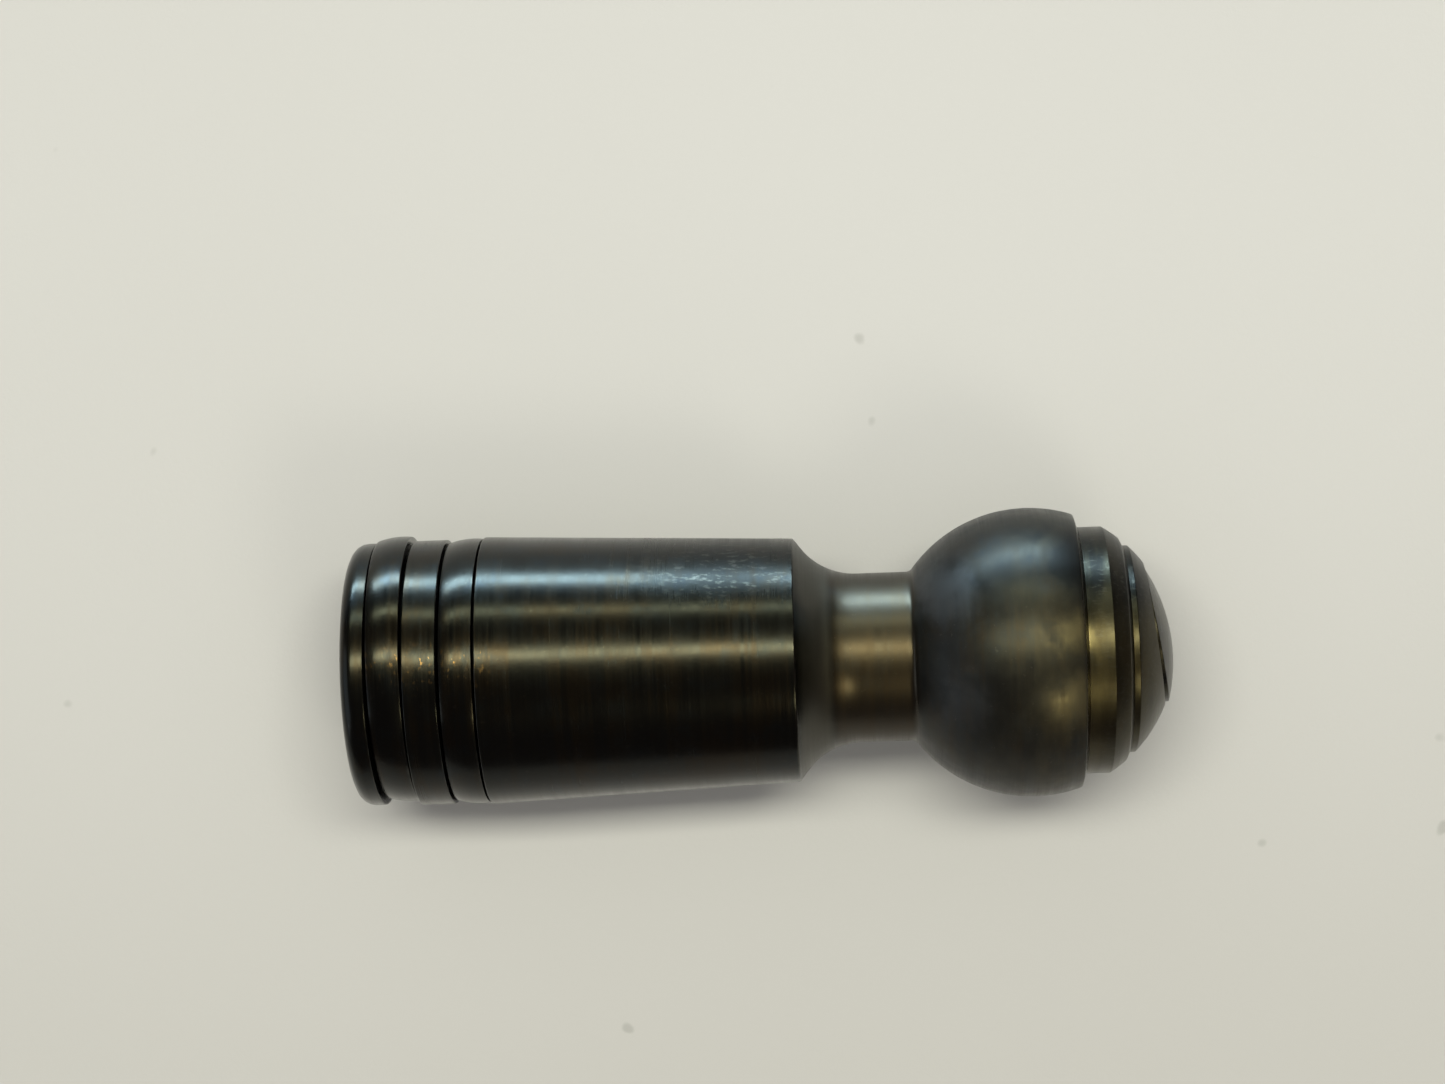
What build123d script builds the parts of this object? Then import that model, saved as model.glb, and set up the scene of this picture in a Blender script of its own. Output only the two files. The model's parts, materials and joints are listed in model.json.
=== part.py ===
from build123d import *
import math
import os

# Ball-ended tapered piston of a bent-axis hydraulic pump or motor, in millimetres.
# The piston lies along X. Its nose, with the two split rings, points to -X and its ball to +X.
# The origin is the centre of the ball, the point about which the drive flange swings the piston.

# The cylinder bore that the piston runs in, and the radial clearance of each band in it.
BORE_RADIUS = 12.70
NOSE_CLEARANCE = 0.35
LAND_CLEARANCE = 0.25
BODY_CLEARANCE = 0.12
RING_CLEARANCE = 0.20

# Lengths along the axis.
NOSE_TO_BALL = 63.2
SHOULDER_TO_BALL = 21.8
NOSE_LAND_WIDTH = 2.3
GROOVE_WIDTH = 3.5
LAND_WIDTH = 3.1

# Tapered body, shoulder and neck.
BODY_TAPER = 2.3
SHOULDER_ANGLE = 53.0
SHOULDER_SWEEP_RADIUS = 6.4
NECK_RADIUS = 7.92

# Ball and the two saw-tooth steps of its tip. Each step starts on the ball's own surface, at an
# angle from the axis, drops by its height and runs on as a cylinder until it meets the ball again.
BALL_RADIUS = 13.5
FIRST_STEP_ANGLE = 71.2
FIRST_STEP_HEIGHT = 1.26
SECOND_STEP_ANGLE = 50.8
SECOND_STEP_HEIGHT = 0.80
STEP_LEAN = 0.38

# Rounding of the turned edges.
NOSE_ROUND = 1.35
NECK_FILLET = 0.8
SHOULDER_ROUND = 0.25
STEP_ROUND = 0.12
GROOVE_ROUND = 0.10

# Piston rings. The crown of a ring is an arc whose highest line lies near the ring's body side.
RING_THICKNESS = 1.3
RING_BACK_CLEARANCE = 0.6
RING_SIDE_CLEARANCE = 0.2
RING_CROWN_RADIUS = 7.0
RING_CROWN_INSET = 0.9
RING_SPLIT = 0.4
NOSE_RING_OFFSET = 0.42
NOSE_RING_TILT = 0.55
NOSE_RING_SPLIT_ANGLE = -55.0
BODY_RING_SPLIT_ANGLE = -130.0

# Oil way through the piston, with the centre that it was ground on in its mouth.
OIL_WAY_RADIUS = 2.5
CENTRE_MOUTH_RADIUS = 3.9
CENTRE_HALF_ANGLE = 30.0

# Domed tip plug, pressed into a seat whose axis leans from the piston's axis about the ball centre.
SEAT_YAW = 6.6
SEAT_PITCH = 2.8
SEAT_RADIUS = 6.8
SEAT_DEPTH = 1.5
PLUG_EDGE_GAP = 0.35
PLUG_CROWN = 1.37
PLUG_DOME_OFFSET = 0.55
PLUG_EDGE_ROUND = 0.12
PLUG_SHANK_RADIUS = 3.2
PLUG_SHANK_LENGTH = 3.6
PLUG_PRESS = 0.01
PLUG_END_ROOM = 0.3
ORIFICE_RADIUS = 0.8

# Worked out from the sizes above.
nose_radius = BORE_RADIUS - NOSE_CLEARANCE
land_radius = BORE_RADIUS - LAND_CLEARANCE
body_radius = BORE_RADIUS - BODY_CLEARANCE
ring_radius = BORE_RADIUS - RING_CLEARANCE
ring_inner_radius = ring_radius - RING_THICKNESS
groove_floor_radius = ring_inner_radius - RING_BACK_CLEARANCE
ring_width = GROOVE_WIDTH - 2 * RING_SIDE_CLEARANCE

nose_face = -NOSE_TO_BALL
nose_groove_start = nose_face + NOSE_LAND_WIDTH
nose_groove_end = nose_groove_start + GROOVE_WIDTH
body_groove_start = nose_groove_end + LAND_WIDTH
body_start = body_groove_start + GROOVE_WIDTH
shoulder = -SHOULDER_TO_BALL
shoulder_radius = body_radius - (shoulder - body_start) * math.tan(math.radians(BODY_TAPER))

seat_rim = math.sqrt(BALL_RADIUS**2 - SEAT_RADIUS**2)
seat_floor = seat_rim - SEAT_DEPTH
plug_radius = SEAT_RADIUS - PLUG_EDGE_GAP
plug_rim = math.sqrt(BALL_RADIUS**2 - plug_radius**2)
plug_dome_radius = (plug_radius**2 + PLUG_CROWN**2) / (2 * PLUG_CROWN)
plug_end = seat_floor - PLUG_SHANK_LENGTH
seat_axis_place = Rotation(0, -SEAT_PITCH, SEAT_YAW)


def on_ball(radius):
    """Place along the axis, past the ball's centre, where the ball has this radius."""
    return math.sqrt(BALL_RADIUS**2 - radius**2)


def sweep_that_fits(radius, turn, run):
    """A fillet radius of a corner that turns by turn degrees, kept within its shorter side."""
    return min(radius, 0.9 * run / math.tan(math.radians(turn / 2)))


def x_cylinder(radius, start, end):
    """A solid cylinder on the X axis from start to end."""
    return Location((start, 0, 0)) * (Rotation(0, 90, 0) * Cylinder(
        radius, end - start, align=(Align.CENTER, Align.CENTER, Align.MIN)))


def turned_piston():
    """The solid of revolution: nose, grooves, tapered body, neck, ball and stepped tip."""
    first_edge = BALL_RADIUS * math.sin(math.radians(FIRST_STEP_ANGLE))
    first_land = first_edge - FIRST_STEP_HEIGHT
    second_edge = BALL_RADIUS * math.sin(math.radians(SECOND_STEP_ANGLE))
    second_land = second_edge - SECOND_STEP_HEIGHT
    slope = math.tan(math.radians(SHOULDER_ANGLE))
    shoulder_drop = shoulder_radius - NECK_RADIUS
    shoulder_foot = shoulder + shoulder_drop / slope
    shoulder_run = shoulder_drop / math.sin(math.radians(SHOULDER_ANGLE))
    shoulder_sweep = sweep_that_fits(SHOULDER_SWEEP_RADIUS, SHOULDER_ANGLE, shoulder_run)
    neck_end = -on_ball(NECK_RADIUS)

    shaft_points = [
        (nose_face, 0),
        (nose_face, nose_radius),
        (nose_groove_start, nose_radius),
        (nose_groove_start, groove_floor_radius),
        (nose_groove_end, groove_floor_radius),
        (nose_groove_end, land_radius),
        (body_groove_start, land_radius),
        (body_groove_start, groove_floor_radius),
        (body_start, groove_floor_radius),
        (body_start, body_radius),
        (shoulder, shoulder_radius),
        (shoulder_foot, NECK_RADIUS),
        (neck_end, NECK_RADIUS),
    ]
    first_corner = (on_ball(first_edge), first_edge)
    first_foot = (on_ball(first_edge) + STEP_LEAN, first_land)
    first_end = (on_ball(first_land), first_land)
    second_corner = (on_ball(second_edge), second_edge)
    second_foot = (on_ball(second_edge) + STEP_LEAN, second_land)
    second_end = (on_ball(second_land), second_land)
    apex = (BALL_RADIUS, 0)

    with BuildSketch() as section:
        with BuildLine():
            Polyline(*shaft_points)
            ThreePointArc(shaft_points[-1], (0, BALL_RADIUS), first_corner)
            Polyline(first_corner, first_foot, first_end)
            RadiusArc(first_end, second_corner, BALL_RADIUS)
            Polyline(second_corner, second_foot, second_end)
            RadiusArc(second_end, apex, BALL_RADIUS)
            Line(apex, shaft_points[0])
        make_face()

        roundings = [
            ((nose_face, nose_radius), NOSE_ROUND),
            ((nose_groove_start, nose_radius), GROOVE_ROUND),
            ((nose_groove_end, land_radius), GROOVE_ROUND),
            ((body_groove_start, land_radius), GROOVE_ROUND),
            ((body_start, body_radius), GROOVE_ROUND),
            ((shoulder, shoulder_radius), SHOULDER_ROUND),
            ((shoulder_foot, NECK_RADIUS), shoulder_sweep),
            ((neck_end, NECK_RADIUS), NECK_FILLET),
            (first_corner, STEP_ROUND),
            (first_end, STEP_ROUND),
            (second_corner, STEP_ROUND),
            (second_end, STEP_ROUND),
        ]
        for corner, radius in roundings:
            fillet(section.vertices().sort_by_distance(corner)[0], radius)
    return revolve(section.sketch, Axis.X)


def piston_body():
    """The one-piece piston with its oil way and the seat of the tip plug."""
    mouth_depth = (CENTRE_MOUTH_RADIUS - OIL_WAY_RADIUS) / math.tan(math.radians(CENTRE_HALF_ANGLE))
    oil_way = x_cylinder(OIL_WAY_RADIUS, nose_face, plug_end)
    centre = Location((nose_face, 0, 0)) * (Rotation(0, 90, 0) * Cone(
        CENTRE_MOUTH_RADIUS, OIL_WAY_RADIUS, mouth_depth, align=(Align.CENTER, Align.CENTER, Align.MIN)))
    seat = x_cylinder(SEAT_RADIUS, seat_floor, BALL_RADIUS + SEAT_DEPTH)
    shank_bore = x_cylinder(PLUG_SHANK_RADIUS, plug_end - PLUG_END_ROOM, BALL_RADIUS)
    return turned_piston() - oil_way - centre - seat_axis_place * (seat + shank_bore)


def tip_plug():
    """The domed plug with its oil orifice. Its dome is centred to one side, so one edge stands proud."""
    head = x_cylinder(plug_radius, seat_floor, BALL_RADIUS + SEAT_DEPTH)
    dome_centre = plug_rim + PLUG_CROWN - plug_dome_radius
    dome = Location((dome_centre, -PLUG_DOME_OFFSET, 0)) * Sphere(plug_dome_radius)
    domed_head = head & dome
    dome_face = domed_head.faces().filter_by(GeomType.SPHERE)[0]
    dome_rim = dome_face.outer_wire().edges().filter_by(GeomType.LINE, reverse=True)
    domed_head = fillet(dome_rim, PLUG_EDGE_ROUND)
    shank = x_cylinder(PLUG_SHANK_RADIUS + PLUG_PRESS, plug_end, seat_floor)
    orifice = x_cylinder(ORIFICE_RADIUS, plug_end, BALL_RADIUS + SEAT_DEPTH)
    return seat_axis_place * (domed_head + shank - orifice)


def split_ring(split_angle):
    """A split ring on the X axis, centred on the origin, with its crown towards the body side."""
    half_width = ring_width / 2
    crown_line = half_width - RING_CROWN_INSET

    def crown(x):
        drop = RING_CROWN_RADIUS - math.sqrt(RING_CROWN_RADIUS**2 - (x - crown_line) ** 2)
        return (x, ring_radius - drop)

    with BuildSketch() as section:
        with BuildLine():
            Polyline(crown(-half_width), (-half_width, ring_inner_radius), (half_width, ring_inner_radius),
                     crown(half_width))
            ThreePointArc(crown(half_width), crown(crown_line), crown(-half_width))
        make_face()
        fillet(section.vertices(), GROOVE_ROUND)
    split_turn = math.degrees(RING_SPLIT / ring_radius)
    ring = revolve(section.sketch, Axis.X, revolution_arc=360 - split_turn)
    return Rotation(split_angle + split_turn / 2, 0, 0) * ring


def nose_ring():
    """The ring nearest the nose: sunk to one side of its groove and leaning in it."""
    centre = (nose_groove_start + nose_groove_end) / 2
    lean = Rotation(0, 0, NOSE_RING_TILT)
    return Location((centre, NOSE_RING_OFFSET, 0)) * (lean * split_ring(NOSE_RING_SPLIT_ANGLE))


def body_ring():
    """The ring nearest the tapered body, central in its groove."""
    centre = (body_groove_start + body_start) / 2
    return Location((centre, 0, 0)) * split_ring(BODY_RING_SPLIT_ANGLE)


NODES = {
    "piston_body": piston_body,
    "tip_plug": tip_plug,
    "nose_ring": nose_ring,
    "body_ring": body_ring,
}

os.makedirs("parts", exist_ok=True)
for name, make in NODES.items():
    export_step(make(), os.path.join("parts", name + ".step"))
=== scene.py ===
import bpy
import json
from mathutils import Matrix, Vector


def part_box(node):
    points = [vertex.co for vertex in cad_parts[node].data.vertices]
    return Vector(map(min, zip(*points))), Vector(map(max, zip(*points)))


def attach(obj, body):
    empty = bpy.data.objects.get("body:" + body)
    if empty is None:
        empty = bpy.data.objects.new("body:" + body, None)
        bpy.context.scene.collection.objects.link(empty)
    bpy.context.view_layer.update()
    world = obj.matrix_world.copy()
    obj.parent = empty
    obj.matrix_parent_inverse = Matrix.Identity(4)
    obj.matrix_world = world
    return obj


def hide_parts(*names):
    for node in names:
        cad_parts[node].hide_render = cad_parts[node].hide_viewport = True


bl_info = {
    "name": "Ball-ended piston",
    "version": (1, 0, 0),
    "blender": (4, 5, 0),
    "location": "View3D > Sidebar > Piston",
    "description": "Builds the detailed pieces of a tapered, ball-ended piston around its frame",
    "category": "Add Mesh",
}

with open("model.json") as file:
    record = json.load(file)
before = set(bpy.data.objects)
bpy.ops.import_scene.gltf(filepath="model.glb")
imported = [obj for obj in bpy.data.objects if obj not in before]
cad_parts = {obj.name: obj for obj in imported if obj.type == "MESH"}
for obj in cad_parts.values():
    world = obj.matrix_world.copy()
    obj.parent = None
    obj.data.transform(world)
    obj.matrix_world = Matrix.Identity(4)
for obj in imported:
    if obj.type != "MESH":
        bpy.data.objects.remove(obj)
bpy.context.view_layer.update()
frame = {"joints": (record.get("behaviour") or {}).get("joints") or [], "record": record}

import json
import math

import bmesh
import bpy
from bpy.props import FloatProperty, FloatVectorProperty, IntProperty, PointerProperty
from mathutils import Matrix, Vector

MM = 0.001
NOSE_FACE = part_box("piston_body")[0].x
RING_LOW, RING_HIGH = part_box("body_ring")
RING_WIDTH = RING_HIGH.x - RING_LOW.x
MOUNTS = {mount["name"]: mount for mount in frame["record"]["mounts"]}
JOINTS = {joint["name"]: joint for joint in frame["joints"]}


# ---- sizes and finishes ----

def length(name, description, millimetres):
    """A length that a user can change."""
    return FloatProperty(
        name=name, description=description, default=millimetres * MM, unit="LENGTH", precision=5)


def angle(name, description, degrees):
    """An angle that a user can change."""
    return FloatProperty(name=name, description=description, default=math.radians(degrees), unit="ROTATION")


def colour(name, description, rgb):
    """A colour that a user can change."""
    return FloatVectorProperty(
        name=name, description=description, default=rgb, size=3, min=0, max=1, subtype="COLOR")


class PistonSizes(bpy.types.PropertyGroup):
    """Sizes of the turned piston, its rings and its plug"""

    nose_radius: length("Nose radius", "Radius of the band between the nose face and the first groove", 12.35)
    nose_width: length("Nose width", "From the nose face to the first groove", 2.3)
    nose_round: length("Nose rounding", "Radius of the nose's outer edge", 1.35)
    groove_width: length("Groove width", "Width of each ring groove", 3.5)
    groove_floor: length("Groove floor", "Radius of the floor of the ring grooves", 10.6)
    land_width: length("Land width", "Width of the land between the grooves", 3.1)
    land_radius: length("Land radius", "Radius of the land between the grooves", 12.45)
    body_radius: length("Body radius", "Radius of the wide end of the tapered body", 12.58)
    body_taper: angle("Body taper", "Half the angle of the body's taper", 2.3)
    shoulder_place: length("Shoulder", "From the shoulder's edge to the ball's centre", 21.8)
    shoulder_angle: angle("Shoulder angle", "Slope of the shoulder's cone", 53)
    shoulder_sweep: length("Shoulder sweep", "Radius of the hollow from the shoulder to the neck", 6.4)
    neck_radius: length("Neck radius", "Radius of the neck", 7.92)
    neck_fillet: length("Neck fillet", "Radius of the fillet between the neck and the ball", 0.8)
    ball_radius: length("Ball radius", "Radius of the ball", MOUNTS["ball_socket"]["dims"]["r_mm"])
    first_step: angle("First step", "Angle from the axis at which the ball is first cut back", 71.2)
    first_height: length("First step height", "Height of the first step", 1.26)
    second_step: angle("Second step", "Angle from the axis of the second step", 50.8)
    second_height: length("Second step height", "Height of the second step", 0.8)
    step_lean: length("Step lean", "How far the wall of a step leans along the axis", 0.38)
    edge_round: length("Edge rounding", "Radius of the worn edges", 0.12)
    oil_way: length("Oil way radius", "Radius of the oil way", 2.5)
    centre_mouth: length("Centre radius", "Radius of the mouth of the turning centre", 3.9)
    seat_yaw: angle("Seat yaw", "Sideways lean of the plug's seat", 6.6)
    seat_pitch: angle("Seat pitch", "Upward lean of the plug's seat", 2.8)
    seat_radius: length("Seat radius", "Radius of the plug's seat", 6.8)
    seat_depth: length("Seat depth", "Depth of the plug's seat", 1.5)
    plug_gap: length("Plug gap", "Gap round the plug", 0.35)
    plug_crown: length("Plug crown", "Rise of the plug's dome above its edge", 1.37)
    dome_offset: length("Dome offset", "How far the centre of the plug's dome lies to one side", 0.55)
    shank_radius: length("Shank radius", "Radius of the plug's pressed shank", 3.2)
    shank_length: length("Shank length", "Length of the plug's pressed shank", 3.6)
    shank_room: length("Shank room", "Room under the end of the shank", 0.3)
    orifice: length("Orifice radius", "Radius of the plug's oil orifice", 0.8)
    ring_thickness: length("Ring thickness", "Radial thickness of a ring", 1.3)
    ring_crown: length("Ring crown", "Radius of the crowned face of a ring", 7.0)
    ring_crown_inset: length("Crown inset", "From a ring's body side to its highest line", 0.9)
    ring_split: length("Ring split", "Width of the split in a ring", 0.4)
    nose_split: angle("Nose ring's split", "Its place, from the side towards the top", -55)
    body_split: angle("Body ring's split", "Its place, from the side towards the top", -130)
    turn_steps: IntProperty(
        name="Steps", description="Facets round a turned piece", default=192, min=24, max=512)


class PistonFinish(bpy.types.PropertyGroup):
    """Colours of the piston and of its floor"""

    steel: colour("Dark steel", "Reflection of the oxidised steel", (0.022, 0.0225, 0.0215))
    brown: colour("Brown film", "Reflection where the oxide is brown", (0.026, 0.022, 0.0175))
    blue: colour("Blue film", "Reflection where the oxide is blue", (0.020, 0.0235, 0.027))
    # Besides the thick oxide, this colour paints shade on the tops of the ball and tip and over the body's
    # cool highlight.
    oxide_black_and_painted_shade: colour("Black film", "Reflection where the oxide is thickest", (0.008, 0.0085, 0.009))
    worn: colour("Worn steel", "Reflection where the oxide is rubbed through", (0.080, 0.076, 0.066))
    copper: colour("Rubbed bronze", "Smears of bronze from the cylinder", (0.20, 0.125, 0.055))
    # Painted shade: this colour darkens the ring grooves, the oil way and the hidden inner faces of the rings
    # and the plug, where shade falls.
    painted_recess_shade: colour("Grime", "Oily dirt in the corners", (0.005, 0.0045, 0.004))
    # This colour also paints the brighter spots where the warm lamps' glints fall on the ball.
    bronze: colour("Bronze film", "Reflection of the rubbed ball", (0.110, 0.092, 0.050))
    bloom: colour("Blue bloom", "Reflection of the cloudy blue patches", (0.070, 0.078, 0.090))
    paper: colour("Floor", "Colour of the floor", (0.537, 0.540, 0.526))
    # Painted shade: the floor fades to this colour towards -Y, as the light falls off there, and the colour
    # also tints random broad patches.
    paper_patches_and_painted_falloff: colour("Floor shade", "Colour of the floor's darker patches", (0.447, 0.444, 0.421))
    speck: colour("Specks", "Colour of the specks on the floor", (0.16, 0.155, 0.14))


# ---- outlines and pieces ----

CREASE = math.radians(35)  # edges that turn more than this are sharp
HOLD = 0.06 * MM  # from a corner to the point that holds its shading
WELD = 0.0005 * MM  # points nearer than this are one
NEAR = 0.02 * MM  # points nearer than this to a circle lie on it

# How finely the outlines' curves are drawn.
ROUNDING_STEPS = 5
SWEEP_STEPS = 14
FILLET_STEPS = 6
DOME_STEPS = 20
CROWN_STEPS = 10
BALL_STEP = math.radians(2)
CROSSING_CUTS = 4

# Small details whose size nobody needs to change.
MOUTH_SLOPE = math.radians(30)
MOUTH_ROUND = 0.2 * MM
SHOULDER_ROUND = 0.25 * MM
SHANK_ROUND = 0.3 * MM
FINE_ROUND = 0.05 * MM
ORIFICE_ROUND = 0.08 * MM
RING_ROUND = 0.1 * MM
FUNNEL = 0.6 * MM  # from the end of the oil way to the bore for the plug's shank
TIP_ARC = math.radians(2.5)  # of the ball's surface, between the last step and the patch round the seat


class Outline:
    """Half the section of a turned piece: a chain of edges, x along the axis and y out from it."""

    def __init__(self, x, radius, mesh=None):
        self.mesh = bmesh.new() if mesh is None else mesh
        self.others = set(self.mesh.verts)
        self.first = self.end = self.mesh.verts.new((x, radius, 0))
        self.corners = []

    def line(self, x, radius, rounding=0.0):
        """Goes straight on to a point, whose corner may be rounded."""
        grown = bmesh.ops.extrude_vert_indiv(self.mesh, verts=[self.end])
        self.end = grown["verts"][0]
        self.end.co = (x, radius, 0)
        self.corners.append((self.end, rounding))

    def arc(self, x, radius, turn, steps, rounding=0.0):
        """Swings about a centre by an angle, which is negative if it goes clockwise."""
        swung = bmesh.ops.spin(
            self.mesh, geom=[self.end], cent=(x, radius, 0), axis=(0, 0, 1), angle=turn, steps=steps)
        self.end = next(part for part in swung["geom_last"] if isinstance(part, bmesh.types.BMVert))
        self.corners.append((self.end, rounding))

    def close(self):
        """Joins the last point to the first."""
        self.mesh.edges.new((self.end, self.first))

    def parts(self):
        """The outline's own points and edges."""
        verts = [vert for vert in self.mesh.verts if vert not in self.others]
        edges = [edge for edge in self.mesh.edges if edge.verts[0] not in self.others]
        return verts, edges

    def finish(self):
        """Rounds the corners and adds a point near both ends of each long straight run."""
        for corner, rounding in self.corners:
            if rounding:
                before, after = (edge.other_vert(corner).co - corner.co for edge in corner.link_edges)
                turn = math.pi - before.angle(after)
                bmesh.ops.bevel(
                    self.mesh, geom=[corner], offset=rounding * math.tan(turn / 2), offset_type="OFFSET",
                    segments=ROUNDING_STEPS, profile=0.5, affect="VERTICES", material=-1)
        for start, end in [tuple(edge.verts) for edge in self.parts()[1]]:
            run = (start.co - end.co).length
            if run > 8 * HOLD:
                near = bmesh.utils.edge_split(self.mesh.edges.get((start, end)), start, HOLD / run)[1]
                bmesh.utils.edge_split(self.mesh.edges.get((near, end)), end, HOLD / (run - HOLD))

    def spin(self, steps, turn=2 * math.pi):
        """Turns the outline about the X axis and gives the new points."""
        self.finish()
        verts, edges = self.parts()
        bmesh.ops.spin(
            self.mesh, geom=verts + edges, cent=(0, 0, 0), axis=(1, 0, 0),
            angle=turn, steps=steps, use_merge=turn >= 2 * math.pi)
        return self.parts()[0]


def boundary(mesh, axis, along, radius):
    """The open edges of a circle about an axis, a way along it."""
    def on_circle(place):
        return abs(place.dot(axis) - along) < NEAR and abs(place.cross(axis).length - radius) < NEAR
    return [
        edge for edge in mesh.edges if edge.is_boundary and all(on_circle(vert.co) for vert in edge.verts)]


def add_piece(name, mesh, body, node, material):
    """Makes an object of a mesh, which rides on a body in place of a frame node."""
    bmesh.ops.remove_doubles(mesh, verts=mesh.verts, dist=WELD)
    bmesh.ops.recalc_face_normals(mesh, faces=mesh.faces)
    for face in mesh.faces:
        face.smooth = True
    for edge in mesh.edges:
        edge.smooth = edge.is_manifold and edge.calc_face_angle() < CREASE
    data = bpy.data.meshes.new(name)
    mesh.to_mesh(data)
    mesh.free()
    data.materials.append(material)
    piece = bpy.data.objects.new(name, data)
    bpy.context.scene.collection.objects.link(piece)
    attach(piece, body)
    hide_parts(node)
    return piece


def seat_place(sizes):
    """Moves a piece made on the X axis onto the leaning axis of the plug's seat."""
    return Matrix.Rotation(-sizes.seat_pitch, 4, "Y") @ Matrix.Rotation(sizes.seat_yaw, 4, "Z")


def on_ball(sizes, radius):
    """Where along the axis, past its centre, the ball has this radius."""
    return math.sqrt(sizes.ball_radius**2 - radius**2)


def seat_levels(sizes):
    """Along the seat's axis: its rim, its floor and the end of the plug's shank."""
    rim = on_ball(sizes, sizes.seat_radius)
    floor = rim - sizes.seat_depth
    return rim, floor, floor - sizes.shank_length


# ---- shading ----

class Number:
    """A value in a material that Python's operators work on."""

    def __init__(self, finish, socket):
        self.finish, self.socket = finish, socket

    def combine(self, operation, *values, clamp=False):
        """The result of a Math node."""
        inputs = dict(enumerate(values))
        node = self.finish.node("ShaderNodeMath", {"operation": operation, "use_clamp": clamp}, inputs)
        return Number(self.finish, node.outputs[0])

    def __add__(self, other):
        return self.combine("ADD", self, other)

    def __sub__(self, other):
        return self.combine("SUBTRACT", self, other)

    def __rsub__(self, other):
        return self.combine("SUBTRACT", other, self)

    def __mul__(self, other):
        return self.combine("MULTIPLY", self, other)

    def __pow__(self, other):
        return self.combine("POWER", self, other)

    __radd__, __rmul__ = __add__, __mul__

    def clamped(self):
        """Kept between 0 and 1."""
        return self.combine("ADD", self, 0.0, clamp=True)

    def distance(self, place):
        """How far it is from a place."""
        return self.combine("ABSOLUTE", self - place)

    def wave(self, wavelength):
        """A sine wave from -1 to 1."""
        return self.combine("SINE", self * (2 * math.pi / wavelength))

    def rise(self, low, high):
        """A smooth step: 0 at low and 1 at high, which may be the smaller."""
        node = self.finish.node(
            "ShaderNodeMapRange", {"interpolation_type": "SMOOTHSTEP"},
            {"Value": self, "From Min": low, "From Max": high})
        return Number(self.finish, node.outputs["Result"])


class Finish:
    """The nodes of one material."""

    def __init__(self, name):
        self.material = bpy.data.materials.new(name)
        self.material.use_nodes = True
        self.tree = self.material.node_tree
        self.tree.nodes.clear()
        self.place = self.node("ShaderNodeTexCoord").outputs["Object"]
        axes = self.node("ShaderNodeSeparateXYZ", inputs={"Vector": self.place})
        self.x, self.y, self.z = (Number(self, axis) for axis in axes.outputs)

    def node(self, kind, settings=None, inputs=None):
        """Adds a node, makes its settings and then gives or links its inputs."""
        node = self.tree.nodes.new(kind)
        for setting, value in (settings or {}).items():
            setattr(node, setting, value)
        for key, value in (inputs or {}).items():
            value = value.socket if isinstance(value, Number) else value
            if isinstance(value, bpy.types.NodeSocket):
                self.tree.links.new(value, node.inputs[key])
            else:
                node.inputs[key].default_value = value
        return node

    def noise(self, scale, detail=3.0, rough=0.55, stretch=(1, 1, 1), turn=(0, 0, 0), offset=0.0):
        """Cloudy noise from 0 to 1, stretched along the axes and turned."""
        mapped = self.node(
            "ShaderNodeMapping", {},
            {"Vector": self.place, "Location": (offset, offset, offset), "Rotation": turn, "Scale": stretch})
        node = self.node(
            "ShaderNodeTexNoise", {"noise_dimensions": "3D"},
            {"Vector": mapped.outputs[0], "Scale": scale, "Detail": detail, "Roughness": rough})
        return Number(self, node.outputs["Fac"])

    def mix(self, amount, first, second):
        """One colour laid over another by an amount."""
        node = self.node(
            "ShaderNodeMix", {"data_type": "RGBA"}, {0: amount, 6: self.rgba(first), 7: self.rgba(second)})
        return node.outputs[2]

    @staticmethod
    def rgba(value):
        """A colour as a socket takes it."""
        return value if isinstance(value, bpy.types.NodeSocket) else (*value, 1.0)

    def near_axis(self):
        """Distance out from the X axis."""
        return (self.y * self.y + self.z * self.z) ** 0.5

    def spots(self, spots, mottle):
        """Patches with mottled edges, seen along Z: each has x, y, a radius in millimetres and a strength."""
        total = 0.0
        for x, y, radius, strength in spots:
            across, along = self.x - x * MM, self.y - y * MM
            away = (across * across + along * along) ** 0.5
            total = (away + mottle).rise(radius * MM, radius * 0.2 * MM) * strength + total
        return total

    def bump(self, height, depth):
        """A normal bent by a height, which is scaled by a depth."""
        bump = self.node("ShaderNodeBump", {}, {"Strength": 1.0, "Distance": depth, "Height": height})
        return bump.outputs[0]

    def done(self, **surface):
        """Ends the material in a Principled shader with these inputs."""
        inputs = {key.replace("_", " "): value for key, value in surface.items()}
        shader = self.node("ShaderNodeBsdfPrincipled", {}, inputs)
        self.node("ShaderNodeOutputMaterial", {}, {"Surface": shader.outputs[0]})
        return self.material


RELIEF_DEPTH = 0.0040 * MM
# Patches on the ball: x, y and radius in millimetres, and strength.
DARK_SPOTS = ((4.2, 7.6, 4.4, 0.75), (-4.6, 5.6, 3.0, 0.5))
# Painted highlight: bronze spots that brighten the ball where the warm lamps' glints fall.
PAINTED_GLINT_SPOTS = ((3.0, 1.8, 3.2, 0.9), (4.2, -4.2, 4.2, 0.36))
CLOUDY_SPOTS = ((-7.9, 6.2, 3.9, 0.58), (-6.4, -4.1, 3.8, 0.20))


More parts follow.
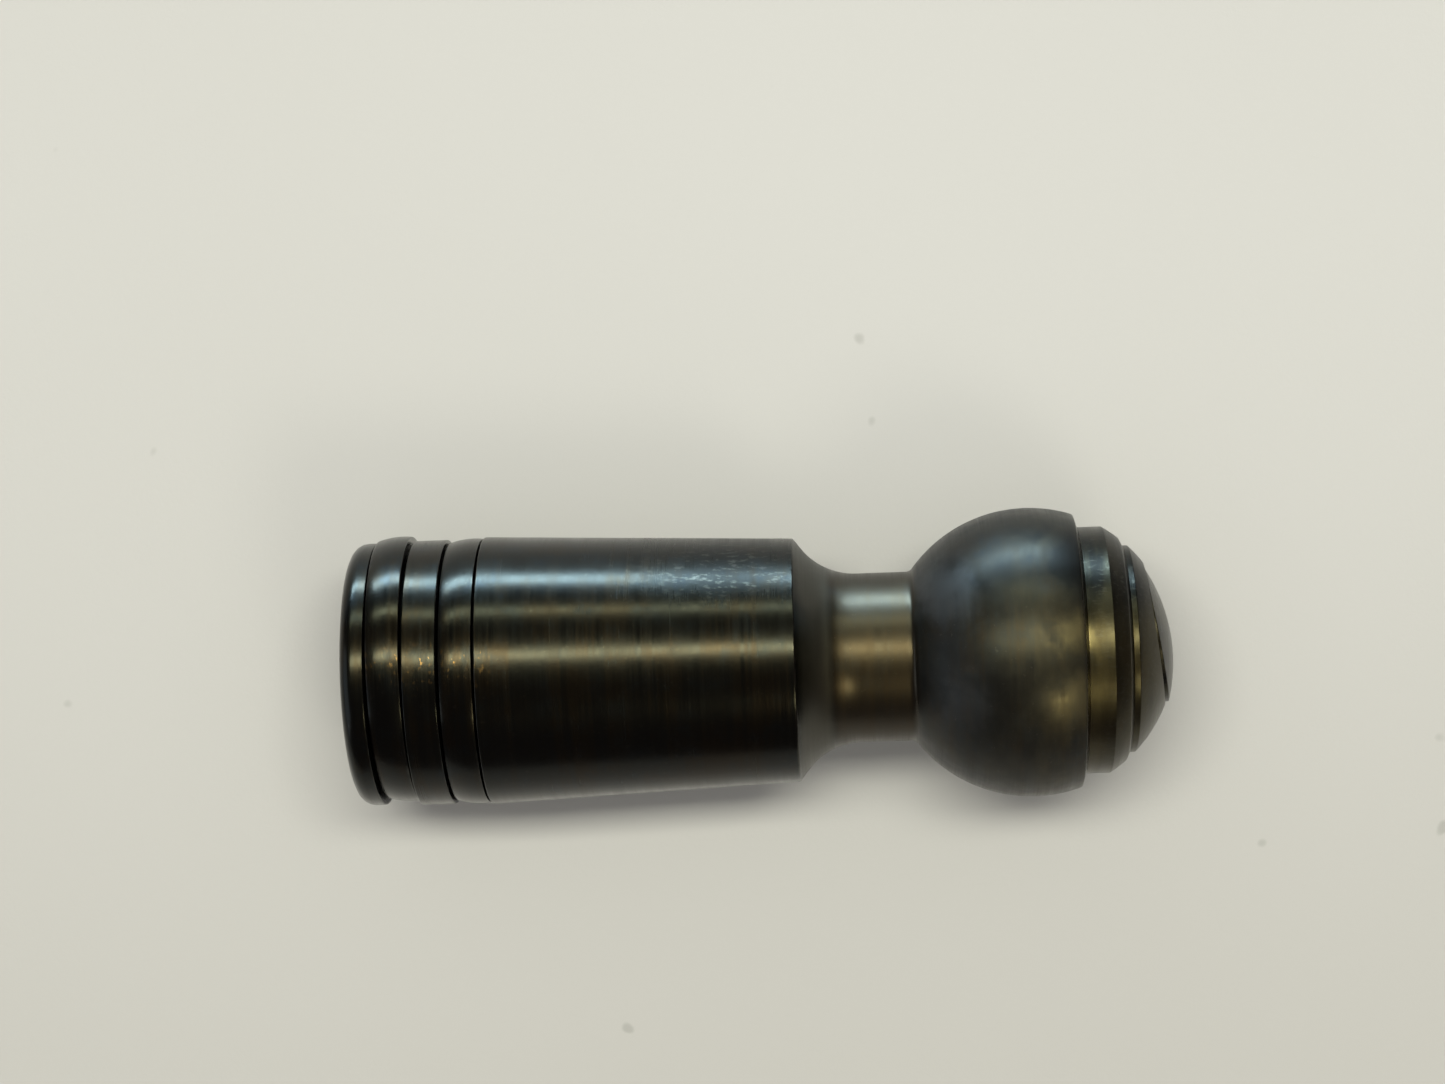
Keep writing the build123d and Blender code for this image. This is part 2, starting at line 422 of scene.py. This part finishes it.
def steel_surface(finish, looks, painted_recess_shade, worn, rough, relief=0.0):
    """The oxidised steel that every piece shares: films of colour, painted shade in recesses, turning marks,
    specks and dimples.
    """
    coarse = finish.noise(1.0, 2.0, 0.6, stretch=(1500, 40, 40))
    fine = finish.noise(1.0, 2.0, 0.7, stretch=(7000, 90, 90), offset=3.1)
    patches = finish.noise(170, 3.0, 0.55, offset=1.7)
    clouds = finish.noise(420, 4.0, 0.6, offset=7.3)
    specks = finish.noise(2600, 2.0, 0.6, offset=5.9)
    dimples = finish.noise(1700, 3.0, 0.6, stretch=(1, 0.6, 0.6), offset=9.1)
    brownish = (patches * 0.6 + coarse * 0.4).rise(0.44, 0.60)
    bluish = (clouds * 0.7 + fine * 0.3).rise(0.50, 0.66)
    film = finish.mix(brownish, looks.steel, looks.brown)
    film = finish.mix(bluish * 0.7, film, looks.blue)
    film = finish.mix((worn + specks.rise(0.66, 0.74) * 0.30).clamped(), film, looks.worn)
    # Painted shade: the recesses are laid over with a very dark colour, and below they are also made rougher.
    film = finish.mix(painted_recess_shade, film, looks.painted_recess_shade)
    roughness = rough + (coarse - 0.5) * 0.14 + (fine - 0.5) * 0.12 + (clouds - 0.5) * 0.10
    roughness = (roughness + painted_recess_shade * 0.25 - worn * 0.05).clamped()
    height = coarse * 0.3 + fine * 0.2 + dimples + relief
    normal = finish.bump(height, RELIEF_DEPTH)
    return film, roughness, normal, patches, clouds


def flaked(finish, offset):
    """Small slanting flakes."""
    return finish.noise(1.0, 3.0, 0.65, stretch=(1100, 2600, 2600), turn=(0, 0, 0.6), offset=offset)


def scuffed(finish, offset):
    """Small scuffs in a narrow strip along the top."""
    scuffs = finish.noise(1.0, 3.0, 0.7, stretch=(2400, 1300, 1300), offset=offset).rise(0.58, 0.68)
    return scuffs * finish.y.distance(0.8 * MM).rise(3.0 * MM, 0.5 * MM)


def band(x, start, end, soft=0.05 * MM):
    """1 between two places along the axis and 0 outside them."""
    return x.rise(start - soft, start + soft) * x.rise(end + soft, end - soft)


def edge(x, place, width):
    """1 at a place along the axis, falling to 0 a width away."""
    return x.distance(place).rise(width, 0.0)


def piston_finish(sizes, looks):
    """Dark oxidised steel, with worn edges, a cloudy, rubbed ball, painted shade in the grooves, the oil way
    and on the tops of the ball and tip, painted shade dimming the body's cool highlight, and painted glints
    on the ball.
    """
    finish = Finish("Oxidised steel")
    x, y, z = finish.x, finish.y, finish.z
    out = finish.near_axis()

    # Places along the axis.
    nose_end = NOSE_FACE + sizes.nose_width
    land_start = nose_end + sizes.groove_width
    land_end = land_start + sizes.land_width
    body_start = land_end + sizes.groove_width
    body_end = -sizes.shoulder_place
    neck_start = body_end + 3.2 * MM
    ball_start = -10.6 * MM
    first_edge = sizes.ball_radius * math.cos(sizes.first_step)
    second_edge = sizes.ball_radius * math.cos(sizes.second_step)

    # Parts of the surface, each 1 where it is and 0 elsewhere.
    end_face = x.rise(NOSE_FACE + 0.3 * MM, NOSE_FACE + 0.05 * MM)
    sweep = band(x, body_end + 0.3 * MM, neck_start, 0.5 * MM)
    neck = band(x, neck_start + 0.3 * MM, ball_start - 0.2 * MM, 0.8 * MM)
    ball = band(x, ball_start, first_edge, 0.3 * MM)
    tip = x.rise(first_edge, first_edge + 0.4 * MM)
    # A strip along the body's top, where the cool highlight falls: rougher and flaky, and darkened as painted
    # shade that dims the highlight.
    rubbed_strip_and_painted_dimming = band(x, -34.0 * MM, body_end, 7.0 * MM) * y.rise(4.5 * MM, 7.5 * MM) * z.rise(-6.0 * MM, 0.0)
    in_grooves = out.rise(sizes.land_radius - 0.15 * MM, sizes.land_radius - 0.8 * MM)
    in_oil_way = out.rise(3.2 * MM, 2.7 * MM)

    chips = finish.noise(900, 3.0, 0.6, offset=11.0)
    rims = edge(x, nose_end, 0.16 * MM) + edge(x, land_start, 0.14 * MM) + edge(x, land_end, 0.14 * MM)
    rims = rims + edge(x, body_start, 0.22 * MM) + edge(x, body_end, 0.20 * MM)
    rims = rims + edge(x, first_edge, 0.22 * MM) + edge(x, second_edge, 0.22 * MM)
    worn = (rims * chips.rise(0.40, 0.60) * 0.45).clamped()
    # Painted shade: the ring grooves and the oil way are darkened where shade falls.
    painted_recess_shade = band(x, nose_end, body_start) * in_grooves * 0.9 + in_oil_way * 0.9
    flakes = flaked(finish, 47.0)
    turning = out.wave(0.28 * MM)
    relief = (rubbed_strip_and_painted_dimming * 2.2 + tip * 1.2 + neck * 0.6) * flakes + end_face * turning * 0.2
    film, roughness, normal, _, clouds = steel_surface(finish, looks, painted_recess_shade, worn, 0.23, relief)

    streaks = finish.noise(1.0, 4.0, 0.6, stretch=(420, 90, 90), offset=31.0)
    blots = finish.noise(1.0, 3.0, 0.55, stretch=(220, 170, 170), offset=37.0)
    mottle = (clouds - 0.5) * 3.0 * MM + (blots - 0.5) * 5.0 * MM
    copper = scuffed(finish, 21.0) * band(x, land_start, body_start + 1.2 * MM, 0.6 * MM) * 0.6 + neck * 0.12
    rubbed = ball * (streaks * 0.5 + blots * 0.5).rise(0.36, 0.62) * x.rise(-9.0 * MM, 3.0 * MM)
    # Bronze on the rubbed ball and the tip, plus painted highlight spots at the warm lamps' glints.
    bronze = rubbed * 0.28 + tip * 0.37 + finish.spots(PAINTED_GLINT_SPOTS, mottle)
    pale = neck * 0.22 + sweep + end_face * 0.5
    # Dark spots on the ball, plus painted shade that darkens its top (+Y) side and dims the window's
    # highlight there.
    dark = finish.spots(DARK_SPOTS, mottle) + y.rise(5.5 * MM, 8.5 * MM) * 0.42
    oxide_black_and_painted_shade = ball * (blots.rise(0.40, 0.66) * 0.55 + dark)
    # Painted shade on the tip's top (+Y) side dims its highlight; the streaks are dark marks.
    oxide_black_and_painted_shade = oxide_black_and_painted_shade + tip * (y.rise(2.0 * MM, 5.5 * MM) * 0.70 + streaks.rise(0.45, 0.62) * 0.25)
    flaky = (rubbed_strip_and_painted_dimming * 0.45 + tip * 0.22) * flakes.rise(0.52, 0.68)
    bloom = ball * finish.spots(CLOUDY_SPOTS, mottle)
    film = finish.mix(copper, film, looks.copper)
    film = finish.mix(bronze.clamped(), film, looks.bronze)
    film = finish.mix(pale.clamped(), film, looks.worn)
    # Painted shade: the darkest oxide colour darkens the body's top strip, dimming its cool highlight, and
    # also darkens the tops of the ball and tip.
    film = finish.mix((oxide_black_and_painted_shade + rubbed_strip_and_painted_dimming * 0.55).clamped(), film, looks.oxide_black_and_painted_shade)
    film = finish.mix(flaky, film, looks.worn)
    film = finish.mix(bloom.clamped(), film, looks.bloom)

    roughness = roughness + end_face * 0.12 + sweep * 0.17 + neck * 0.13 + ball * 0.15 + tip * 0.10
    roughness = roughness + rubbed_strip_and_painted_dimming * 0.10 + bloom * 0.12 + ball * (clouds - 0.5) * 0.15
    metallic = 1.0 - ball * 0.2
    return finish.done(Base_Color=film, Metallic=metallic, Roughness=roughness.clamped(), Normal=normal)


def plug_finish(looks):
    """The same steel on the domed plug, worn along its edge and flaky, with painted shade on its hidden
    sides.
    """
    finish = Finish("Plug steel")
    rim = finish.near_axis().rise(5.6 * MM, 6.6 * MM)
    chips = finish.noise(900, 3.0, 0.6, offset=13.0)
    flakes = flaked(finish, 51.0)
    worn = rim * chips.rise(0.52, 0.66) * 0.5
    # Painted shade: the plug's sides and shank, hidden in the seat, are darkened.
    painted_recess_shade = finish.x.rise(11.2 * MM, 10.6 * MM)
    film, roughness, normal, patches, clouds = steel_surface(finish, looks, painted_recess_shade, worn, 0.30, flakes * 1.6)
    film = finish.mix(clouds.rise(0.35, 0.65) * 0.22, film, looks.bronze)
    film = finish.mix(patches.rise(0.42, 0.60) * 0.35, film, looks.oxide_black_and_painted_shade)
    film = finish.mix(flakes.rise(0.52, 0.68) * 0.22, film, looks.worn)
    return finish.done(Base_Color=film, Metallic=1.0, Roughness=roughness, Normal=normal)


def ring_finish(sizes, looks, centre, name):
    """Ground ring steel, worn at its edges, with painted shade on its inner face."""
    finish = Finish(name)
    chips = finish.noise(1100, 3.0, 0.6, offset=17.0)
    half = RING_WIDTH / 2
    rims = edge(finish.x, centre + half, 0.22 * MM) + edge(finish.x, centre - half, 0.22 * MM)
    worn = (rims * chips.rise(0.42, 0.58) * 0.42).clamped()
    inner = MOUNTS["cylinder_bore"]["dims"]["r_mm"] * MM - sizes.ring_thickness
    # Painted shade: the ring's inner face, hidden in its groove, is darkened.
    painted_recess_shade = finish.near_axis().rise(inner + 0.7 * MM, inner + 0.2 * MM)
    film, roughness, normal, _, _ = steel_surface(finish, looks, painted_recess_shade, worn, 0.22)
    film = finish.mix(scuffed(finish, 23.0) * 0.5, film, looks.copper)
    return finish.done(Base_Color=film, Metallic=1.0, Roughness=roughness, Normal=normal)


def floor_finish(looks):
    """Off-white paper with a faint tooth, a few specks and painted shade that darkens it towards -Y."""
    finish = Finish("Pale paper")
    broad = finish.noise(9, 2.0, 0.5)
    tooth = finish.noise(1400, 4.0, 0.7)
    dust = finish.noise(240, 1.0, 0.3, offset=41.0)
    # Painted shade: darker towards -Y, where the light falls off, plus a small share of random broad patches.
    shade = finish.y.rise(55.0 * MM, -60.0 * MM) * 0.85 + broad.rise(0.3, 0.7) * 0.15
    film = finish.mix(shade, looks.paper, looks.paper_patches_and_painted_falloff)
    film = finish.mix(dust.rise(0.80, 0.84) * 0.3, film, looks.speck)
    normal = finish.bump(tooth, 0.03 * MM)
    return finish.done(Base_Color=film, Roughness=0.75, Normal=normal, Specular_IOR_Level=0.25)


# ---- the pieces ----

class PISTON_OT_turned(bpy.types.Operator):
    """Make the turned piston with its ring grooves, neck, stepped ball, plug seat and oil way"""

    bl_idname = "piston.turned"
    bl_label = "Turned piston"

    def execute(self, context):
        sizes, looks = context.scene.piston_sizes, context.scene.piston_finish
        rim, floor, shank_end = seat_levels(sizes)
        bore_end = shank_end - sizes.shank_room
        oil_end = bore_end - FUNNEL

        # The seat, on its own leaning axis.
        seat = Outline(rim, sizes.seat_radius)
        seat.line(floor, sizes.seat_radius)
        seat.line(floor, sizes.shank_radius)
        seat.line(bore_end, sizes.shank_radius)
        bmesh.ops.transform(seat.mesh, matrix=seat_place(sizes), verts=seat.spin(sizes.turn_steps))
        mesh = seat.mesh

        # Everything else, on the piston's axis, from the inner end of the oil way round to the tip.
        outline = Outline(oil_end, sizes.oil_way, mesh)
        self.draw_shaft(outline, sizes)
        self.draw_ball(outline, sizes)
        outline.spin(sizes.turn_steps)

        # The ball's surface between the last step and the leaning seat, and the end of the oil way.
        axis = Vector((1, 0, 0))
        leaning = seat_place(sizes) @ axis
        last = self.last_land(sizes) - TIP_ARC
        along, radius = sizes.ball_radius * math.cos(last), sizes.ball_radius * math.sin(last)
        ball_loop = boundary(mesh, axis, along, radius)
        loops = ball_loop + boundary(mesh, leaning, rim, sizes.seat_radius)
        patch = bmesh.ops.bridge_loops(mesh, edges=loops)
        crossings = [edge for edge in patch["edges"] if edge not in loops]
        cut = bmesh.ops.subdivide_edges(mesh, edges=crossings, cuts=CROSSING_CUTS, use_grid_fill=True)
        for part in cut["geom_inner"]:
            if isinstance(part, bmesh.types.BMVert):
                part.co = part.co.normalized() * sizes.ball_radius
        oil_loop = boundary(mesh, axis, oil_end, sizes.oil_way)
        bore_loop = boundary(mesh, leaning, bore_end, sizes.shank_radius)
        bmesh.ops.bridge_loops(mesh, edges=oil_loop + bore_loop)
        add_piece("piston_turned", mesh, "piston", "piston_body", piston_finish(sizes, looks))
        return {"FINISHED"}

    @staticmethod
    def last_land(sizes):
        """Angle from the axis at which the land of the second step meets the ball."""
        land = sizes.ball_radius * math.sin(sizes.second_step) - sizes.second_height
        return math.asin(land / sizes.ball_radius)

    @staticmethod
    def draw_shaft(outline, sizes):
        """Oil way, nose, ring grooves, tapered body, shoulder and neck."""
        mouth = (sizes.centre_mouth - sizes.oil_way) / math.tan(MOUTH_SLOPE)
        outline.line(NOSE_FACE + mouth, sizes.oil_way, MOUTH_ROUND)
        outline.line(NOSE_FACE, sizes.centre_mouth, sizes.edge_round)
        outline.line(NOSE_FACE, sizes.nose_radius, sizes.nose_round)
        place = NOSE_FACE + sizes.nose_width
        outline.line(place, sizes.nose_radius, sizes.edge_round)
        for after, width in ((sizes.land_radius, sizes.land_width), (sizes.body_radius, None)):
            outline.line(place, sizes.groove_floor, sizes.edge_round)
            place += sizes.groove_width
            outline.line(place, sizes.groove_floor, sizes.edge_round)
            outline.line(place, after, sizes.edge_round)
            if width:
                place += width
                outline.line(place, after, sizes.edge_round)
        shoulder = -sizes.shoulder_place
        shoulder_radius = sizes.body_radius - (shoulder - place) * math.tan(sizes.body_taper)
        foot = shoulder + (shoulder_radius - sizes.neck_radius) / math.tan(sizes.shoulder_angle)
        reach = sizes.shoulder_sweep * math.tan(sizes.shoulder_angle / 2)
        outline.line(shoulder, shoulder_radius, SHOULDER_ROUND)
        outline.line(foot - reach * math.cos(sizes.shoulder_angle),
                     sizes.neck_radius + reach * math.sin(sizes.shoulder_angle))
        outline.arc(foot + reach, sizes.neck_radius + sizes.shoulder_sweep, sizes.shoulder_angle, SWEEP_STEPS)

    @staticmethod
    def draw_ball(outline, sizes):
        """Fillet at the neck, ball, its two steps and the start of the tip."""
        fillet_height = sizes.neck_radius + sizes.neck_fillet
        fillet_x = -math.sqrt((sizes.ball_radius + sizes.neck_fillet)**2 - fillet_height**2)
        lean = math.atan2(fillet_height, -fillet_x)
        outline.line(fillet_x, sizes.neck_radius)
        outline.arc(fillet_x, fillet_height, math.pi / 2 - lean, FILLET_STEPS)
        start = math.pi - lean
        cuts = ((sizes.first_step, sizes.first_height), (sizes.second_step, sizes.second_height))
        for step, height in cuts:
            corner_x, corner = sizes.ball_radius * math.cos(step), sizes.ball_radius * math.sin(step)
            land = corner - height
            outline.arc(0, 0, step - start, max(4, round((start - step) / BALL_STEP)), sizes.edge_round)
            outline.line(corner_x + sizes.step_lean, land)
            outline.line(on_ball(sizes, land), land, sizes.edge_round)
            start = math.asin(land / sizes.ball_radius)
        outline.arc(0, 0, -TIP_ARC, 3)


class PISTON_OT_plug(bpy.types.Operator):
    """Make the domed tip plug with its pressed shank and oil orifice"""

    bl_idname = "piston.plug"
    bl_label = "Tip plug"

    def execute(self, context):
        sizes, looks = context.scene.piston_sizes, context.scene.piston_finish
        rim, floor, shank_end = seat_levels(sizes)
        radius = sizes.seat_radius - sizes.plug_gap
        plug_rim = on_ball(sizes, radius)
        dome = (radius**2 + sizes.plug_crown**2) / (2 * sizes.plug_crown)
        dome_centre = plug_rim + sizes.plug_crown - dome
        start = math.asin(radius / dome)
        end = math.asin(sizes.orifice / dome)

        outline = Outline(floor, sizes.orifice)
        outline.line(shank_end, sizes.orifice, FINE_ROUND)
        outline.line(shank_end, sizes.shank_radius, SHANK_ROUND)
        outline.line(floor, sizes.shank_radius)
        outline.line(floor, radius, FINE_ROUND)
        outline.line(plug_rim, radius, sizes.edge_round)
        outline.arc(dome_centre, 0, end - start, DOME_STEPS, ORIFICE_ROUND)
        outline.close()
        verts = outline.spin(sizes.turn_steps)

        # The dome alone is moved to one side.
        for vert in verts:
            if vert.co.x > (floor + plug_rim) / 2:
                _, y, z = vert.co
                moved = math.sqrt(dome**2 - (y + sizes.dome_offset)**2 - z**2)
                vert.co.x += moved - math.sqrt(dome**2 - y**2 - z**2)
        bmesh.ops.transform(outline.mesh, matrix=seat_place(sizes), verts=verts)
        add_piece("tip_plug_domed", outline.mesh, "piston", "tip_plug", plug_finish(looks))
        return {"FINISHED"}


class PISTON_OT_rings(bpy.types.Operator):
    """Make the two split, crowned piston rings"""

    bl_idname = "piston.rings"
    bl_label = "Piston rings"

    def execute(self, context):
        sizes, looks = context.scene.piston_sizes, context.scene.piston_finish
        for body, split in (("nose_ring", sizes.nose_split), ("body_ring", sizes.body_split)):
            joint = JOINTS[body + "_turn"]
            lean = Vector((1, 0, 0)).rotation_difference(Vector(joint["axis"])).to_matrix().to_4x4()
            place = Matrix.Translation(joint["pos_m"]) @ lean
            mesh = self.split_ring(sizes, split)
            bmesh.ops.transform(mesh, matrix=place, verts=mesh.verts)
            name = body.replace("_", " ").capitalize() + " steel"
            material = ring_finish(sizes, looks, joint["pos_m"][0], name)
            add_piece(body + "_ground", mesh, body, body, material)
        return {"FINISHED"}

    @staticmethod
    def split_ring(sizes, split):
        """A ring on the X axis with its crown's highest line towards the body side."""
        outer = MOUNTS["cylinder_bore"]["dims"]["r_mm"] * MM
        inner = outer - sizes.ring_thickness
        half = RING_WIDTH / 2
        crown = sizes.ring_crown
        high = half - sizes.ring_crown_inset
        outline = Outline(0, inner)
        outline.line(half, inner, RING_ROUND)
        outline.line(half, outer - crown + math.sqrt(crown**2 - (half - high)**2), RING_ROUND)
        turn = math.asin((half - high) / crown) + math.asin((half + high) / crown)
        outline.arc(high, outer - crown, turn, CROWN_STEPS, RING_ROUND)
        outline.line(-half, inner, RING_ROUND)
        outline.close()
        gap = sizes.ring_split / outer
        outline.spin(sizes.turn_steps, 2 * math.pi - gap)
        mesh = outline.mesh
        bmesh.ops.holes_fill(mesh, edges=[edge for edge in mesh.edges if edge.is_boundary])
        bmesh.ops.rotate(
            mesh, cent=(0, 0, 0), matrix=Matrix.Rotation(split + gap / 2, 3, "X"), verts=mesh.verts)
        return mesh


# Lamps that draw the bands on the steel and leave the floor alone: place, width and length in
# metres, watts and colour.
BAND_LAMPS = (
    ("Window", (-0.12, 0.90, 0.070), (0.80, 0.14), 14.0, (0.60, 0.855, 0.97)),
    ("Far lamp", (-0.03, 0.80, 0.60), (1.2, 0.08), 3.3, (0.95, 1.0, 0.66)),
    ("Side lamp", (0.33, -0.60, 0.80), (0.30, 0.17), 1.9, (1.0, 0.90, 0.50)),
    ("Nose lamp", (-0.90, -0.15, 0.33), (0.9, 0.60), 1.4, (0.80, 0.92, 1.0)),
    ("Overhead lamp", (-0.03, 0.25, 1.0), (1.2, 0.11), 9.1, (1.0, 0.95, 0.58)),
)
# Lamps that light the floor and leave no reflection.
FLOOR_LAMPS = (
    ("Key", (-0.03, 0.22, 0.95), (0.9, 0.18), 9.7, (1.0, 0.985, 0.87)),
    ("Fill", (0.33, -0.60, 0.80), (0.30, 0.30), 1.7, (1.0, 0.96, 0.84)),
    ("Ceiling", (-0.02, 0.05, 0.80), (1.6, 1.6), 4.2, (0.90, 0.93, 1.0)),
)
LAMP_TARGET = (-0.025, 0, 0)
ROOM_COLOUR = (1.0, 0.86, 0.78, 1.0)
ROOM_STRENGTH = 0.12
FLOOR_SIZE = 1.2
FLOOR_LEAN = math.radians(0.95)
CAMERA_PLACE = (-0.0166, 0.0080, 0.2790)
CAMERA_TURN = ((0.0423, "Y"), (0.0119, "X"), (-0.0353, "Z"))
CAMERA_SENSOR = 36.0
CAMERA_LENS = 73.84
CAMERA_NEAR = 0.01


class PISTON_OT_stage(bpy.types.Operator):
    """Make the floor, the lights and the camera"""

    bl_idname = "piston.stage"
    bl_label = "Stage"

    def execute(self, context):
        scene = context.scene
        self.add_floor(scene)
        for lamp in BAND_LAMPS:
            self.add_lamp(scene, *lamp).visible_diffuse = False
        for lamp in FLOOR_LAMPS:
            self.add_lamp(scene, *lamp).visible_glossy = False
        self.add_room(scene)
        self.add_camera(scene)
        return {"FINISHED"}

    @staticmethod
    def add_room(scene):
        """The dim light from all round, and how light is turned into picture."""
        world = bpy.data.worlds.new("Dim room")
        world.use_nodes = True
        background = world.node_tree.nodes["Background"]
        background.inputs["Color"].default_value = ROOM_COLOUR
        background.inputs["Strength"].default_value = ROOM_STRENGTH
        scene.world = world
        scene.view_settings.view_transform = "Standard"

    @staticmethod
    def add_camera(scene):
        """A camera nearly straight above the piston."""
        data = bpy.data.cameras.new("Camera")
        data.sensor_width = CAMERA_SENSOR
        data.lens = CAMERA_LENS
        data.clip_start = CAMERA_NEAR
        camera = bpy.data.objects.new("Camera", data)
        camera.location = CAMERA_PLACE
        turn = Matrix.Identity(4)
        for amount, axis in CAMERA_TURN:
            turn = turn @ Matrix.Rotation(amount, 4, axis)
        camera.rotation_euler = turn.to_euler()
        scene.collection.objects.link(camera)
        scene.camera = camera

    @staticmethod
    def add_floor(scene):
        """A large sheet of paper that the ball and the nose's lower edge touch."""
        mesh = bmesh.new()
        bmesh.ops.create_grid(mesh, x_segments=1, y_segments=1, size=FLOOR_SIZE)
        data = bpy.data.meshes.new("Floor")
        lean = Matrix.Rotation(FLOOR_LEAN, 4, "Y")
        drop = Matrix.Translation((0, 0, -MOUNTS["ball_socket"]["dims"]["r_mm"] * MM))
        bmesh.ops.transform(mesh, matrix=lean @ drop, verts=mesh.verts)
        mesh.to_mesh(data)
        mesh.free()
        data.materials.append(floor_finish(scene.piston_finish))
        floor = bpy.data.objects.new("Floor", data)
        scene.collection.objects.link(floor)

    @staticmethod
    def add_lamp(scene, name, place, size, power, tint):
        """A soft rectangular lamp that looks at the piston's middle."""
        data = bpy.data.lights.new(name, "AREA")
        data.shape = "RECTANGLE"
        data.size, data.size_y = size
        data.energy = power
        data.color = tint
        light = bpy.data.objects.new(name, data)
        light.location = place
        light.rotation_euler = (Vector(LAMP_TARGET) - Vector(place)).to_track_quat("-Z", "Y").to_euler()
        scene.collection.objects.link(light)
        return light


class PISTON_PT_panel(bpy.types.Panel):
    """Lists the pieces in the 3D view's sidebar"""

    bl_idname = "PISTON_PT_panel"
    bl_label = "Ball-ended piston"
    bl_space_type = "VIEW_3D"
    bl_region_type = "UI"
    bl_category = "Piston"

    def draw(self, context):
        for operator in OPERATORS:
            self.layout.operator(operator.bl_idname)
        for group in (context.scene.piston_sizes, context.scene.piston_finish):
            for name in group.bl_rna.properties.keys():
                if name not in ("rna_type", "name"):
                    self.layout.prop(group, name)


OPERATORS = (PISTON_OT_turned, PISTON_OT_plug, PISTON_OT_rings, PISTON_OT_stage)
CLASSES = (PistonSizes, PistonFinish, *OPERATORS, PISTON_PT_panel)


def register():
    for cls in CLASSES:
        bpy.utils.register_class(cls)
    bpy.types.Scene.piston_sizes = PointerProperty(type=PistonSizes)
    bpy.types.Scene.piston_finish = PointerProperty(type=PistonFinish)


def unregister():
    del bpy.types.Scene.piston_finish
    del bpy.types.Scene.piston_sizes
    for cls in reversed(CLASSES):
        bpy.utils.unregister_class(cls)


def main():
    """Makes every piece and the stage."""
    register()
    bpy.ops.piston.turned()
    bpy.ops.piston.plug()
    bpy.ops.piston.rings()
    bpy.ops.piston.stage()


if __name__ == "__main__":
    main()
